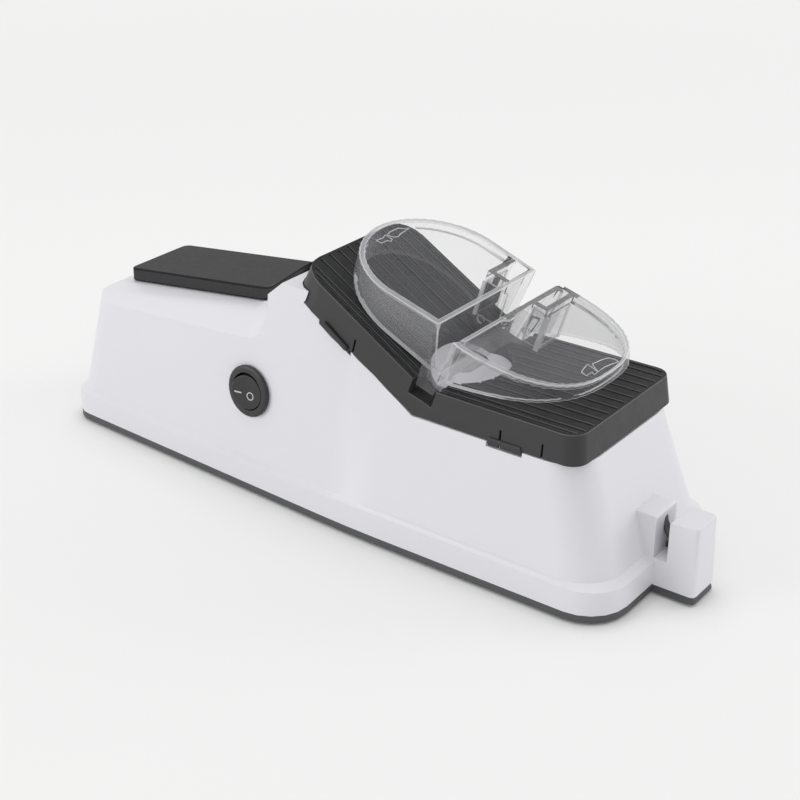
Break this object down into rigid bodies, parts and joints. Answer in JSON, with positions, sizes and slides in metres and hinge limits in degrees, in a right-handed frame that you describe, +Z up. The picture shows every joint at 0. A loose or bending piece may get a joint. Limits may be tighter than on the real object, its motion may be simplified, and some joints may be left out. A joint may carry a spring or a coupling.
{
  "type": "electric knife sharpener",
  "caption": "Long electric knife sharpener with a hand pad, a V-shaped ribbed cover, a clear knife guide over a grinding wheel, a round rocker switch and a slot for sharpening by hand.",
  "frame": {"origin": "middle of the bounding box's underside, on the worktop", "axes": "+X along the length towards the block with the slot for sharpening by hand, +Z up, -Y the side with the switch"},
  "size_m": [0.2462, 0.072, 0.0939],
  "materials": {
    "white_plastic": "satin",
    "dark_plastic": "fine texture",
    "base_plastic": "matte",
    "soft_pad": "matte",
    "clear_plastic": "polished",
    "black_plastic": "satin",
    "ceramic_rod": "ground",
    "grinding_stone": "coarse",
    "steel": "zinc plated",
    "brass": "plain",
    "board_laminate": "satin",
    "lead_cover": "satin",
    "foot_rubber": "matte"
  },
  "bodies": {
    "case": {"body_shell": "white_plastic", "base_plate": "base_plastic", "hand_pad": "soft_pad", "wheel_guard": "white_plastic", "switch_housing": "black_plastic", "switch_terminal_1": "brass", "switch_terminal_2": "brass", "ceramic_rod_1": "ceramic_rod", "ceramic_rod_2": "ceramic_rod", "motor_can": "steel", "motor_rear_cap": "black_plastic", "motor_terminal_1": "brass", "motor_terminal_2": "brass", "motor_cradle": "black_plastic", "motor_strap": "steel", "strap_screw_1": "steel", "strap_screw_2": "steel", "power_inlet": "black_plastic", "inlet_pin_1": "brass", "inlet_pin_2": "brass", "circuit_board": "board_laminate", "board_capacitor": "black_plastic", "board_rectifier": "black_plastic", "lead_inlet_to_board": "lead_cover", "lead_inlet_to_switch": "lead_cover", "lead_switch_to_board": "lead_cover", "lead_board_to_motor": "lead_cover", "rubber_foot_1": "foot_rubber", "rubber_foot_2": "foot_rubber", "rubber_foot_3": "foot_rubber", "rubber_foot_4": "foot_rubber", "base_screw_1": "steel", "base_screw_2": "steel", "base_screw_3": "steel", "base_screw_4": "steel"},
    "cover": {"top_cover": "dark_plastic", "knife_guide": "clear_plastic"},
    "rocker": {"switch_rocker": "black_plastic"},
    "spindle": {"motor_shaft": "steel", "wheel_flange": "steel", "grinding_wheel": "grinding_stone", "wheel_washer": "steel", "wheel_nut": "steel"}
  },
  "joints": [
    {"name": "cover_lift", "type": "slide", "parent": "case", "child": "cover", "axis": [0, 0, 1], "range_m": [0, 0.04]},
    {"name": "rocker_tilt", "type": "hinge", "parent": "case", "child": "rocker", "pos_m": [-0.03207, -0.02933, 0.03716], "axis": [-0.0047, -0.0844, -0.9964], "range_deg": [0, 18]},
    {"name": "spindle_spin", "type": "hinge", "parent": "case", "child": "spindle", "pos_m": [0.02983, 0, 0.0394], "axis": [0.9537, 0, -0.3007], "continuous": true}
  ]
}
